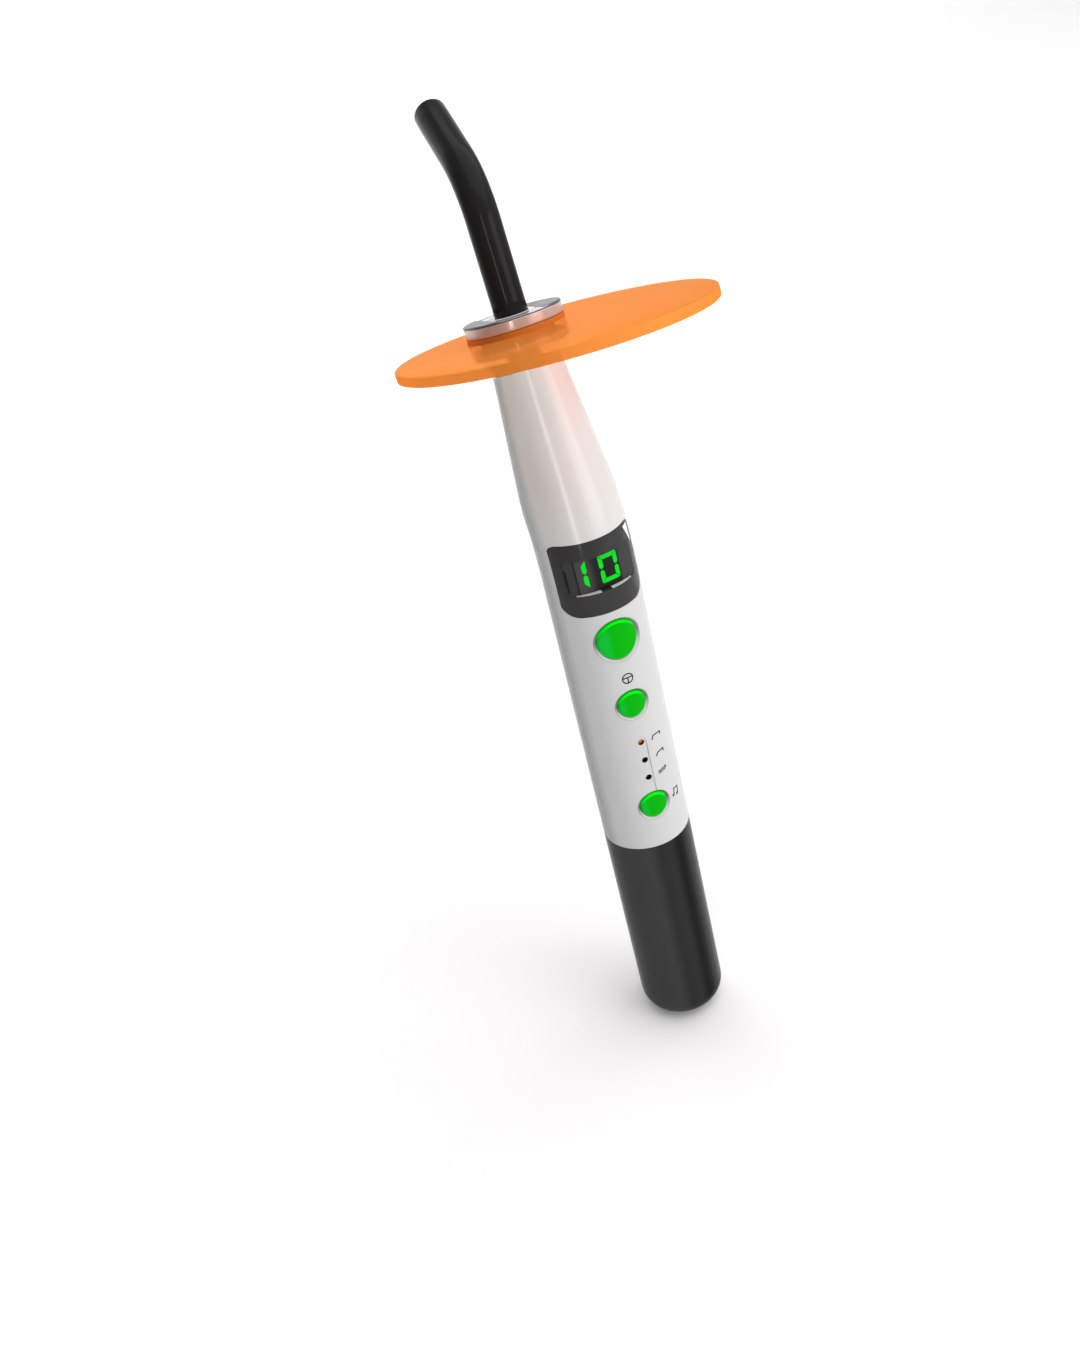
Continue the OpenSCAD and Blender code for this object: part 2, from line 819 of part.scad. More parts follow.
module protection_board() {
    color("darkgreen") translate([0, 0, cell_z + cell_len + terminal_h])
        cylinder(r = disc_r, h = disc_t);
}

module pack_wires() {
    low = cell_z + cell_len + terminal_h + disc_t;
    color("red") for (x = [-pin_x, 0])
        translate([x, 0, low]) cylinder(r = wire_r, h = cap_top - low);
}

module battery_cell() {
    color("steelblue") translate([0, 0, cell_z]) cylinder(r = cell_r, h = cell_len);
}

module cell_terminal() {
    color("silver") translate([0, 0, cell_z + cell_len])
        cylinder(r = terminal_r, h = terminal_h);
}

module pack_spring() {
    low = charge_board_z + disc_t + spring_wire_r;
    high = cell_z - spring_wire_r;
    count = spring_turns * spring_steps;
    color("silver") wire([
        for (i = [0:count])
            let (a = 360 * i / spring_steps)
            [spring_r * cos(a), spring_r * sin(a), low + (high - low) * i / count]
    ], spring_wire_r, [0, 0, 1]);
}

module charge_board() {
    color("darkgreen") translate([0, 0, charge_board_z]) cylinder(r = disc_r, h = disc_t);
}

// two round contacts, flush with the flat of the tail
module charging_contacts() {
    color("gold") for (side = [-1, 1])
        translate([side * charge_x, 0, 0]) cylinder(r = charge_r, h = charge_board_z);
}

body_shell();
display_cover();
display_screen();
display_digits();
display_module();
power_button();
time_button();
mode_button();
power_plunger();
time_plunger();
mode_plunger();
power_switch();
time_switch();
mode_switch();
mode_lamp_1();
mode_lamp_2();
mode_lamp_3();
main_board();
microcontroller();
buzzer();
driver_board();
driver_coil();
chassis();
chassis_screws();
contact_carrier();
contact_pins();
led_wires();
battery_wires();
heat_sink();
led_star_board();
led_emitter();
reflector();
head_collar();
guide_socket();
spring_clip();
guide_ferrule();
guide_sheath();
guide_core();
eye_shield();
pack_case();
pack_seal();
pack_end_cap();
pack_contacts();
protection_board();
pack_wires();
battery_cell();
cell_terminal();
pack_spring();
charge_board();
charging_contacts();
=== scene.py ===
"""Looks of a cordless dental curing light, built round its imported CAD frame. Metres, +Z up the handle."""

import json
from math import asin, atan2, cos, pi, radians, sin, sqrt

import bmesh
import bpy
from mathutils import Matrix, Quaternion, Vector


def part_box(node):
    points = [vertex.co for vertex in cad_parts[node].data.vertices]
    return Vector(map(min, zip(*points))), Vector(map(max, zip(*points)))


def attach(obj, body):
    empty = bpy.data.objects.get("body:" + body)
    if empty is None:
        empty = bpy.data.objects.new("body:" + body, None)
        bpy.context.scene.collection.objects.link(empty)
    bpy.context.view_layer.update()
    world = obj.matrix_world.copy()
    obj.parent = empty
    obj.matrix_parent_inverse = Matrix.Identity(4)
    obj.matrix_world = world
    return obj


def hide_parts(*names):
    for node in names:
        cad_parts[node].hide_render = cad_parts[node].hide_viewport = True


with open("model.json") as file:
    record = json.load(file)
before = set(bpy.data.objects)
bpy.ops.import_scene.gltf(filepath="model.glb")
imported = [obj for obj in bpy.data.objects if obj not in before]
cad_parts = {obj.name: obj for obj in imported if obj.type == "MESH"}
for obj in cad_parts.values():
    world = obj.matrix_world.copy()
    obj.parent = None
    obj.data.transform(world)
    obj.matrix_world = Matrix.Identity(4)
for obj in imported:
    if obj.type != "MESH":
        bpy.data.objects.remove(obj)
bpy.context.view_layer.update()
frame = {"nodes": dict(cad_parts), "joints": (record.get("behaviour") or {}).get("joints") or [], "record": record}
nodes = frame["nodes"]
joints = {j["name"]: j for j in frame["joints"]}

MM = 0.001


# ------------------------------------------------------------------ measures taken from the frame


def middle(node):
    low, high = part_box(node)
    return (Vector(low) + Vector(high)) / 2


def extent(node, axis):
    low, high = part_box(node)
    return high[axis] - low[axis]


HANDLE_R = extent("pack_case", 0) / 2
HEAD = Vector(joints["collar_turn"]["pos_m"])
HEAD_AXIS = Vector(joints["collar_turn"]["axis"]).normalized()
HEAD_TILT = atan2(HEAD_AXIS.y, HEAD_AXIS.z)
TO_ROW = Matrix.Translation(HEAD) @ Matrix.Rotation(-HEAD_TILT, 4, "X")

ACROSS = (1, 0, 0)
UP = (0, 0, 1)
# the side of the handle that is on the left in the photo, where the shell's colour carries painted shade
PHOTO_LEFT = (-0.974, 0.225, 0)


# ------------------------------------------------------------------ materials


class Paint:
    """A material with the usual chain: object-space texture, noise, colour, roughness and bump."""

    def __init__(self, name, **constants):
        self.material = bpy.data.materials.new(name)
        self.material.use_nodes = True
        self.nodes = self.material.node_tree.nodes
        self.links = self.material.node_tree.links
        self.shader = self.nodes["Principled BSDF"]
        for socket, value in constants.items():
            self.shader.inputs[socket.replace("_", " ")].default_value = value
        coordinates = self.nodes.new("ShaderNodeTexCoord")
        self.place = coordinates.outputs["Object"]
        self.facing = coordinates.outputs["Normal"]

    def noise(self, size, detail):
        """Noise whose features are about size metres across."""
        tex = self.nodes.new("ShaderNodeTexNoise")
        tex.inputs["Scale"].default_value = 1 / size
        tex.inputs["Detail"].default_value = detail
        self.links.new(self.place, tex.inputs["Vector"])
        return tex.outputs["Fac"]

    def stretched_noise(self, size, stretch):
        """Noise drawn out along the handle."""
        mapping = self.nodes.new("ShaderNodeMapping")
        mapping.inputs["Scale"].default_value = (1, 1, 1 / stretch)
        self.links.new(self.place, mapping.inputs["Vector"])
        tex = self.nodes.new("ShaderNodeTexNoise")
        tex.inputs["Scale"].default_value = 1 / size
        self.links.new(mapping.outputs["Vector"], tex.inputs["Vector"])
        return tex.outputs["Fac"]

    def along(self, direction, start, end, of=None):
        """0 at start and 1 at end along a direction: of the place in metres, or of another vector."""
        dot = self.nodes.new("ShaderNodeVectorMath")
        dot.operation = "DOT_PRODUCT"
        dot.inputs[1].default_value = direction
        self.links.new(of or self.place, dot.inputs[0])
        span = self.nodes.new("ShaderNodeMapRange")
        span.interpolation_type = "SMOOTHSTEP"
        span.inputs["From Min"].default_value = start
        span.inputs["From Max"].default_value = end
        self.links.new(dot.outputs["Value"], span.inputs["Value"])
        return span.outputs["Result"]

    def mix(self, factor, a, b):
        """Colour a where the factor is 0 and b where it is 1. a and b are colours or outputs."""
        mixer = self.nodes.new("ShaderNodeMix")
        mixer.data_type = "RGBA"
        self.links.new(factor, mixer.inputs["Factor"])
        for socket, value in ((mixer.inputs[6], a), (mixer.inputs[7], b)):
            if isinstance(value, tuple):
                socket.default_value = (*value, 1)
            else:
                self.links.new(value, socket)
        return mixer.outputs[2]

    def colour(self, output):
        self.links.new(output, self.shader.inputs["Base Color"])
        return self

    def roughness(self, factor, low, high):
        span = self.nodes.new("ShaderNodeMapRange")
        span.inputs["From Min"].default_value = 0.3
        span.inputs["From Max"].default_value = 0.7
        span.inputs["To Min"].default_value = low
        span.inputs["To Max"].default_value = high
        self.links.new(factor, span.inputs["Value"])
        self.links.new(span.outputs["Result"], self.shader.inputs["Roughness"])
        return self

    def bump(self, height, depth):
        """Relief of depth metres."""
        node = self.nodes.new("ShaderNodeBump")
        node.inputs["Strength"].default_value = 1.0
        node.inputs["Distance"].default_value = depth
        self.links.new(height, node.inputs["Height"])
        self.links.new(node.outputs["Normal"], self.shader.inputs["Normal"])
        return self


def moulded(name, light, dark, low, high, grain=0.35 * MM, depth=0.004 * MM, **constants):
    """Moulded plastic: two close tones in soft clouds, a fine grain, and roughness that wanders."""
    paint = Paint(name, **constants)
    paint.colour(paint.mix(paint.noise(14 * MM, 2), light, dark))
    paint.roughness(paint.noise(3 * MM, 4), low, high)
    return paint.bump(paint.noise(grain, 2), depth)


def metal(name, light, dark, low, high, stretch=1.0, depth=0.003 * MM):
    paint = Paint(name, Metallic=1.0)
    grain = paint.stretched_noise(0.25 * MM, stretch)
    paint.colour(paint.mix(grain, light, dark))
    paint.roughness(grain, low, high)
    return paint.bump(grain, depth)


def shell_paint():
    """Satin white plastic with painted light and shade: painted lighter up the neck, painted pink light from the
    shield on the right beside the shield with a painted cool tint on the left there that offsets it, and painted
    grey shade at the left edge (PHOTO_LEFT).
    """
    paint = Paint("shell_white", Specular_IOR_Level=0.4)
    grip = paint.mix(paint.noise(18 * MM, 2), (0.515, 0.515, 0.518), (0.535, 0.535, 0.535))
    neck = paint.mix(paint.noise(18 * MM, 2), (0.66, 0.66, 0.66), (0.68, 0.68, 0.68))
    # painted light: the white is painted paler up the neck than on the grip, over soft random clouds of tone
    white = paint.mix(paint.along(UP, HEAD.z - 75 * MM, HEAD.z - 20 * MM), grip, neck)
    # painted light beside the shield: pink on the right as painted orange light from the shield, and a painted
    # cool tint on the left that offsets that orange light
    painted_shield_light_zone = paint.along(UP, HEAD.z - 36 * MM, HEAD.z - 4 * MM)
    painted_pink_side = paint.along(ACROSS, -2 * MM, 5 * MM)
    tint = paint.mix(painted_pink_side, (0.60, 0.70, 0.73), (0.76, 0.68, 0.68))
    # painted shade: the shell turns grey where it faces PHOTO_LEFT
    painted_shade_left_edge = paint.along(PHOTO_LEFT, 0.72, 1.0, paint.facing)
    paint.colour(paint.mix(painted_shade_left_edge, paint.mix(painted_shield_light_zone, white, tint), (0.20, 0.21, 0.215)))
    paint.roughness(paint.noise(2.5 * MM, 4), 0.2, 0.26)
    return paint.bump(paint.noise(0.3 * MM, 2), 0.001 * MM)


def shield_paint():
    """Orange acrylic: tinted light goes through each face, the gloss is orange and the rim is matt."""
    gloss = (1.0, 0.5, 0.2, 1.0)
    paint = Paint("shield_orange", Metallic=0.3, Specular_IOR_Level=0.0, Specular_Tint=gloss)
    paint.colour(paint.mix(paint.noise(30 * MM, 2), (0.88, 0.335, 0.062), (0.84, 0.315, 0.057)))
    paint.roughness(paint.along(HEAD_AXIS, 0.5, 0.8, paint.facing), 0.6, 0.07)
    paint.bump(paint.noise(9 * MM, 1), 0.004 * MM)
    clear = paint.nodes.new("ShaderNodeBsdfTransparent")
    clear.inputs["Color"].default_value = (0.97, 0.58, 0.27, 1)
    both = paint.nodes.new("ShaderNodeMixShader")
    both.inputs["Fac"].default_value = 0.40
    paint.links.new(paint.shader.outputs["BSDF"], both.inputs[1])
    paint.links.new(clear.outputs["BSDF"], both.inputs[2])
    paint.links.new(both.outputs["Shader"], paint.nodes["Material Output"].inputs["Surface"])
    return paint


def collar_paint():
    """Satin silver, with a faint painted pink reflection of the orange shield under it."""
    paint = Paint("collar_silver", Metallic=0.3, Specular_IOR_Level=0.5)
    grain = paint.noise(0.4 * MM, 3)
    # painted reflection: the silver is tinted pink by the orange shield under it
    paint.colour(paint.mix(grain, (0.60, 0.53, 0.525), (0.56, 0.49, 0.49)))
    paint.roughness(grain, 0.15, 0.22)
    return paint.bump(grain, 0.002 * MM)


def screen_paint():
    """Screen with a dark field behind the right figure, paler panels beside it and a line at its left."""
    paint = Paint("screen_black", Specular_IOR_Level=0.1)
    margin, line, panel = (0.036, 0.036, 0.037), (0.012, 0.012, 0.0125), (0.05, 0.05, 0.051)
    dark_field, right_panel = (0.010, 0.010, 0.0105), (0.042, 0.042, 0.043)
    fields = paint.mix(paint.along(ACROSS, -7.0 * MM, -6.8 * MM), margin, line)
    fields = paint.mix(paint.along(ACROSS, -6.5 * MM, -6.3 * MM), fields, panel)
    fields = paint.mix(paint.along(ACROSS, -4 * MM, -1.2 * MM), fields, dark_field)
    paint.colour(paint.mix(paint.along(ACROSS, 4.9 * MM, 5.6 * MM), fields, right_panel))
    paint.roughness(paint.noise(3 * MM, 3), 0.14, 0.2)
    return paint.bump(paint.noise(0.3 * MM, 2), 0.001 * MM)


def pack_paint():
    """Satin black plastic with a painted sheen: painted reflection bands, lighter and darker across the handle."""
    paint = Paint("pack_black", Specular_IOR_Level=0.045)
    # painted sheen: bands of lighter and darker colour across the handle stand in for reflections, over soft
    # random tone
    painted_sheen_bands = paint.mix(paint.noise(20 * MM, 1), (0.040, 0.040, 0.0405), (0.046, 0.046, 0.0465))
    painted_sheen_bands = paint.mix(paint.along(ACROSS, -5 * MM, -1 * MM), painted_sheen_bands, (0.022, 0.022, 0.0222))
    painted_sheen_bands = paint.mix(paint.along(ACROSS, 1.5 * MM, 5 * MM), painted_sheen_bands, (0.004, 0.004, 0.0041))
    paint.colour(paint.mix(paint.along(ACROSS, 5.5 * MM, 9 * MM), painted_sheen_bands, (0.024, 0.024, 0.0243)))
    paint.roughness(paint.noise(3 * MM, 4), 0.22, 0.27)
    return paint.bump(paint.noise(0.25 * MM, 2), 0.001 * MM)


def button_paint():
    """Bright green, painted a touch bluer on the left as a painted reflection, with a painted highlight where the
    edge rolls up.
    """
    paint = Paint("button_green", Specular_IOR_Level=0.04)
    green = paint.mix(paint.noise(4 * MM, 2), (0.0002, 0.40, 0.001), (0.0004, 0.38, 0.002))
    # painted reflection: the face is painted bluer on the left
    face = paint.mix(paint.along(ACROSS, -3.6 * MM, -1.2 * MM), (0.003, 0.48, 0.03), green)
    # painted highlight: brighter green where the rolled edge faces up
    painted_highlight_edge = paint.along(UP, 0.12, 0.45, paint.facing)
    paint.colour(paint.mix(painted_highlight_edge, face, (0.001, 0.95, 0.01)))
    paint.roughness(paint.noise(2 * MM, 3), 0.25, 0.35)
    return paint.bump(paint.noise(0.3 * MM, 2), 0.001 * MM)


def seat_paint():
    """The dished rings round the buttons: painted shade makes them grey under the top, where they face down, and
    painted light makes them white at the bottom, where they face up.
    """
    paint = Paint("seat_white", Specular_IOR_Level=0.2)
    grey = paint.mix(paint.noise(3 * MM, 2), (0.20, 0.20, 0.205), (0.23, 0.23, 0.235))
    # painted shade in grey where the ring faces down, painted light in white where it faces up
    paint.colour(paint.mix(paint.along(UP, -0.1, 0.6, paint.facing), grey, (0.72, 0.72, 0.72)))
    paint.roughness(paint.noise(2.5 * MM, 4), 0.3, 0.38)
    return paint.bump(paint.noise(0.3 * MM, 2), 0.001 * MM)


def glow_paint(name, base, emission, strength):
    """A lit diode or display segment: its glow varies in fine noise."""
    paint = moulded(name, base, base, 0.3, 0.5, Emission_Strength=strength, Specular_IOR_Level=0.05)
    paint.links.new(
        paint.mix(paint.noise(0.5 * MM, 2), emission, tuple(c * 0.75 for c in emission)),
        paint.shader.inputs["Emission Color"],
    )
    return paint


def board_paint(name, mask, copper):
    """Circuit board: solder mask with the copper's outline showing through it."""
    paint = Paint(name, Coat_Weight=0.4, Coat_Roughness=0.1)
    tracks = paint.nodes.new("ShaderNodeTexBrick")
    tracks.inputs["Scale"].default_value = 1 / (6 * MM)
    tracks.inputs["Mortar Size"].default_value = 0.03
    tracks.inputs["Color1"].default_value = (*mask, 1)
    tracks.inputs["Color2"].default_value = (*mask, 1)
    tracks.inputs["Mortar"].default_value = (*copper, 1)
    paint.links.new(paint.place, tracks.inputs["Vector"])
    paint.colour(tracks.outputs["Color"])
    paint.roughness(paint.noise(1 * MM, 3), 0.3, 0.45)
    return paint.bump(tracks.outputs["Fac"], 0.02 * MM)


PAINTS = {
    "shell_white": shell_paint(),
    "smoked_lens": moulded("smoked_lens", (0.024, 0.024, 0.0245), (0.034, 0.034, 0.035), 0.16, 0.24,
                           Specular_IOR_Level=0.16),
    "screen_black": screen_paint(),
    "figure_green": glow_paint("figure_green", (0.0, 0.12, 0.003), (0.0, 1.0, 0.02), 0.75),
    "ivory_plastic": moulded("ivory_plastic", (0.72, 0.69, 0.6), (0.66, 0.63, 0.55), 0.4, 0.55),
    "button_green": button_paint(),
    "seat_white": seat_paint(),
    "black_plastic": moulded("black_plastic", (0.02, 0.02, 0.021), (0.03, 0.03, 0.031), 0.35, 0.5),
    "pack_black": pack_paint(),
    "steel": metal("steel", (0.62, 0.62, 0.64), (0.5, 0.5, 0.52), 0.2, 0.4),
    "lamp_amber": glow_paint("lamp_amber", (0.5, 0.12, 0.03), (1.0, 0.22, 0.04), 0.5),
    "lamp_dark": moulded("lamp_dark", (0.006, 0.005, 0.005), (0.01, 0.009, 0.008), 0.2, 0.35,
                         Specular_IOR_Level=0.1),
    "board_green": board_paint("board_green", (0.01, 0.12, 0.03), (0.04, 0.22, 0.06)),
    "coil_brown": metal("coil_brown", (0.45, 0.2, 0.1), (0.3, 0.12, 0.05), 0.3, 0.5, stretch=6.0),
    "gold": metal("gold", (0.9, 0.66, 0.28), (0.8, 0.56, 0.2), 0.15, 0.3),
    "wire_red": moulded("wire_red", (0.5, 0.02, 0.015), (0.42, 0.015, 0.01), 0.45, 0.6),
    "aluminium": metal("aluminium", (0.7, 0.71, 0.73), (0.58, 0.59, 0.61), 0.28, 0.42, stretch=12.0),
    "star_white": moulded("star_white", (0.8, 0.8, 0.8), (0.74, 0.74, 0.74), 0.3, 0.4),
    "led_blue": moulded("led_blue", (0.5, 0.55, 0.15), (0.45, 0.5, 0.12), 0.08, 0.15,
                        Transmission_Weight=0.4),
    "mirror_cup": metal("mirror_cup", (0.9, 0.9, 0.92), (0.86, 0.86, 0.88), 0.04, 0.08),
    "collar_silver": collar_paint(),
    "socket_white": moulded("socket_white", (0.86, 0.85, 0.86), (0.8, 0.79, 0.8), 0.3, 0.4),
    "guide_black": moulded("guide_black", (0.014, 0.014, 0.0145), (0.017, 0.017, 0.0175), 0.1, 0.16,
                           grain=0.6 * MM, depth=0.0005 * MM, Specular_IOR_Level=0.06),
    # dark grey for the collar's lobes and trim: a painted dark reflection of the collar's top
    "lobe_grey": moulded("lobe_grey", (0.105, 0.108, 0.112), (0.085, 0.088, 0.092), 0.3, 0.4,
                         Specular_IOR_Level=0.3),
    "glass_fibre": moulded("glass_fibre", (0.75, 0.82, 0.9), (0.7, 0.78, 0.88), 0.03, 0.06,
                           grain=0.08 * MM, depth=0.002 * MM, IOR=1.55, Transmission_Weight=0.85),
    "shield_orange": shield_paint(),
    "seal_rubber": moulded("seal_rubber", (0.03, 0.03, 0.03), (0.045, 0.045, 0.045), 0.6, 0.75),
    "cell_blue": moulded("cell_blue", (0.03, 0.12, 0.3), (0.04, 0.15, 0.36), 0.2, 0.3),
    "print_ink": moulded("print_ink", (0.02, 0.02, 0.021), (0.03, 0.03, 0.031), 0.5, 0.65,
                         Specular_IOR_Level=0.1),
    "sill_grey": moulded("sill_grey", (0.8, 0.8, 0.79), (0.7, 0.7, 0.69), 0.25, 0.35),
    "clear_white": moulded("clear_white", (0.9, 0.9, 0.9), (0.86, 0.86, 0.86), 0.2, 0.3),
}

for entry in frame["record"]["subparts"]:
    target = nodes[entry["node"]]
    target.data.materials.clear()
    target.data.materials.append(PAINTS[entry["material_slot"]].material)


# ------------------------------------------------------------------ mesh helpers


def piece(name, vertices, faces, paint, body, smooth=True):
    """A mesh piece in the row frame, painted, and riding on a body."""
    mesh = bpy.data.meshes.new(name)
    mesh.from_pydata([tuple(v) for v in vertices], [], faces)
    mesh.update()
    tool = bmesh.new()
    tool.from_mesh(mesh)
    bmesh.ops.recalc_face_normals(tool, faces=tool.faces)
    tool.to_mesh(mesh)
    tool.free()
    if smooth:
        mesh.shade_smooth()
    mesh.materials.append(PAINTS[paint].material)
    obj = bpy.data.objects.new(name, mesh)
    bpy.context.scene.collection.objects.link(obj)
    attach(obj, body)
    return obj


def skin(rings):
    """Faces between closed rings of vertex numbers."""
    faces = []
    for a, b in zip(rings, rings[1:]):
        for i in range(len(a)):
            j = (i + 1) % len(a)
            faces.append((a[i], a[j], b[j], b[i]))
    return faces


def ring_mesh(point, profile_count, around, loop=True):
    """Vertices and faces of rings of point(i, k). Loop joins the end rings; without it they are capped."""
    vertices = [point(i, k) for i in range(profile_count) for k in range(around)]
    rings = [[i * around + k for k in range(around)] for i in range(profile_count)]
    if loop:
        return vertices, skin(rings + rings[:1])
    return vertices, skin(rings) + [tuple(rings[0]), tuple(rings[-1])]


def arc(centre, radius, start, end, count):
    """Points of an arc in a plane, angles in degrees."""
    angles = [radians(start + (end - start) * i / count) for i in range(count + 1)]
    return [(centre[0] + radius * cos(a), centre[1] + radius * sin(a)) for a in angles]


def on_handle(x, z, lift=0.0):
    """The point of the handle's front at width x and height z, lifted off the surface."""
    r = HANDLE_R + lift
    return Vector((x * r / HANDLE_R, -sqrt(max(r * r - (x * r / HANDLE_R) ** 2, 0)), z))


BEND_Z = 154.5 * MM
BEND_R = 60 * MM


def on_bend(x, z, lift=0.0):
    """The same on the leaning stretch above the start of the bend."""
    r = HANDLE_R + lift
    front = sqrt(r * r - x * x)
    height = (z - BEND_Z) / (1 + front / BEND_R)
    lean = asin(height / BEND_R)
    return Vector((x, BEND_R * (1 - cos(lean)) - front * cos(lean), z))


def plate(name, rows, paint, body):
    """A closed thin piece from rows of points side by side, each row a list of (upper, lower) vectors."""
    vertices = []
    for across in zip(*rows):
        vertices += [upper for upper, lower in across] + [lower for upper, lower in reversed(across)]
    around = 2 * len(rows)
    rings = [[around * i + k for k in range(around)] for i in range(len(rows[0]))]
    faces = skin(rings) + [tuple(rings[0]), tuple(rings[-1])]
    return piece(name, vertices, faces, paint, body, smooth=False)


# ------------------------------------------------------------------ display

SCREEN_HALF_H = 4.8 * MM
SCREEN_ARC_R = 17.9 * MM
SCREEN_ARC_Y = 6.9 * MM
SCREEN_HEIGHT = 3.9 * MM
SCREEN_LEAN = asin(SCREEN_HEIGHT / BEND_R)
SCREEN_FRAME = (
    Matrix.Translation((0, BEND_R * (1 - cos(SCREEN_LEAN)), BEND_Z + SCREEN_HEIGHT))
    @ Matrix.Rotation(-SCREEN_LEAN, 4, "X")
)
SILL_TOP, SILL_LOW = 0.05 * MM, -0.03 * MM
SILL_DEPTH = 0.12 * MM
SILL_LEAST = 0.02 * MM
INLAY_FACE, INLAY_FOOT = 0.012 * MM, -0.05 * MM


def sill(name, x0, x1):
    """The lit ledge under the screen, between the screen's face and the cover's skin."""
    inner, outer = [], []
    for i in range(13):
        x = x0 + (x1 - x0) * i / 12
        back = SCREEN_ARC_Y - sqrt(SCREEN_ARC_R ** 2 - x * x)
        front = -sqrt(HANDLE_R ** 2 - x * x) + SILL_DEPTH
        for row, y in ((inner, back), (outer, min(front, back - SILL_LEAST))):
            heights = (SILL_TOP, SILL_LOW)
            row.append(tuple(SCREEN_FRAME @ Vector((x, y, -SCREEN_HALF_H + z)) for z in heights))
    return plate(name, (inner, outer), "sill_grey", "handle")


def slot_line(name, x, half_w, top, low):
    """A dark upright slot beside the screen."""
    left, right = [], []
    for i in range(9):
        z = low + (top - low) * i / 8
        for row, side in ((left, -1), (right, 1)):
            row.append(tuple(on_bend(x + side * half_w, z, lift) for lift in (INLAY_FACE, INLAY_FOOT)))
    return plate(name, (left, right), "lamp_dark", "handle")


def clear_corner():
    """A white plate of painted light where light comes through the clear upper corner of the cover: it widens to
    the left upwards.
    """
    low, height = 162.4 * MM, 4.9 * MM
    right, least_w, more_w = 10.3 * MM, 0.1 * MM, 1.5 * MM
    steps, strips = 10, 5
    rows = [[] for strip in range(strips + 1)]
    for i in range(steps + 1):
        t = i / steps
        width = least_w + more_w * t ** 1.2
        for j, row in enumerate(rows):
            x = right - width * (1 - j / strips)
            row.append(tuple(on_bend(x, low + height * t, lift) for lift in (INLAY_FACE, INLAY_FOOT)))
    return plate("cover_clear_corner", rows, "clear_white", "handle")


sill("screen_sill_left", -7.6 * MM, -1.5 * MM)
sill("screen_sill_right", 1.4 * MM, 7.6 * MM)
clear_corner()
slot_line("cover_slot", x=-9.0 * MM, half_w=0.22 * MM, top=161.5 * MM, low=154.6 * MM)


# ------------------------------------------------------------------ buttons and their ring seats

BUTTON_FLANGE = 0.8 * MM
BUTTON_EDGE = 0.75 * MM
BUTTON_PROUD = 0.12 * MM
BUTTON_SKIRT = 2.2 * MM
RING_W = 0.89 * MM
RING_GAP = 0.3 * MM
RING_SIDE = 0.3 * MM
RING_LIP = 0.08 * MM
RING_FALL = 0.06 * MM
RING_DIP = 0.78 * MM
RING_FOOT = 0.88 * MM
AROUND = 96


def button_cap(node, body):
    """A cap that follows the handle's round, with a rolled edge and a skirt below the shell."""
    centre = middle(node)
    radius = extent(node, 0) / 2 - BUTTON_FLANGE
    edge = arc((radius - BUTTON_EDGE, -BUTTON_EDGE), BUTTON_EDGE, 90, 0, 8)
    flat = [(radius - BUTTON_EDGE) * i / 10 for i in range(1, 10)]
    profile = [(0.02 * MM, 0.0)] + [(rho, 0.0) for rho in flat] + edge + [(radius, -BUTTON_SKIRT)]

    def point(i, k):
        rho, depth = profile[i]
        angle = 2 * pi * k / AROUND
        x = rho * cos(angle)
        crown = 0.10 * MM * (1 - (rho / radius) ** 2)
        front = sqrt((HANDLE_R + BUTTON_PROUD) ** 2 - x * x)
        return Vector((x, -(front + depth + crown), centre.z + rho * sin(angle)))

    vertices, faces = ring_mesh(point, len(profile), AROUND, loop=False)
    cap = piece(node + "_cap", vertices, faces, "button_green", body)
    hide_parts(node)
    return cap


def ring_seat(node, name):
    """The dished ring round a button: it starts level with the shell and dips to the button's side."""
    centre = middle(node)
    radius = extent(node, 0) / 2 - BUTTON_FLANGE
    inner, outer = radius + RING_GAP, radius + RING_W
    slope_w = outer - RING_LIP - inner
    dish = [(outer, -RING_SIDE), (outer, -RING_FALL), (outer - RING_LIP, 0.0)]
    dish += [(inner + slope_w * (1 - t), -RING_DIP * t ** 1.5) for t in (0.25, 0.5, 0.75, 1)]
    dish += [(inner, -RING_FOOT), (outer, -RING_FOOT)]

    def point(i, k):
        rho, lift = dish[i]
        angle = 2 * pi * k / AROUND
        return on_handle(rho * cos(angle), centre.z + rho * sin(angle), lift)

    vertices, faces = ring_mesh(point, len(dish), AROUND)
    return piece(name, vertices, faces, "seat_white", "handle")


for key in ("power", "time", "mode"):
    button_cap(key + "_button", key + "_key")
    ring_seat(key + "_button", key + "_ring_seat")


# ------------------------------------------------------------------ lamp wells

# radii, and depths below the skin
WELL_INNER, WELL_OUTER = 0.74 * MM, 0.91 * MM
WELL_TOP, WELL_FOOT = 0.31 * MM, 1.1 * MM


def lamp_well(name, centre):
    """A short dark tube that lines a lamp's hole in the handle's front."""
    around = AROUND // 2
    upper = [(WELL_INNER, -WELL_TOP), (WELL_OUTER, -WELL_TOP)]
    profile = upper + [(WELL_OUTER, -WELL_FOOT), (WELL_INNER, -WELL_FOOT)]

    def point(i, k):
        rho, lift = profile[i]
        angle = 2 * pi * k / around
        return on_handle(centre.x + rho * cos(angle), centre.z + rho * sin(angle), lift)

    vertices, faces = ring_mesh(point, len(profile), around)
    return piece(name, vertices, faces, "lamp_dark", "handle", smooth=False)


for number in (1, 2, 3):
    lamp_well(f"lamp_well_{number}", middle(f"mode_lamp_{number}"))


# ------------------------------------------------------------------ printed icons

INK_LIFT = 0.03 * MM
STROKE = 0.36 * MM


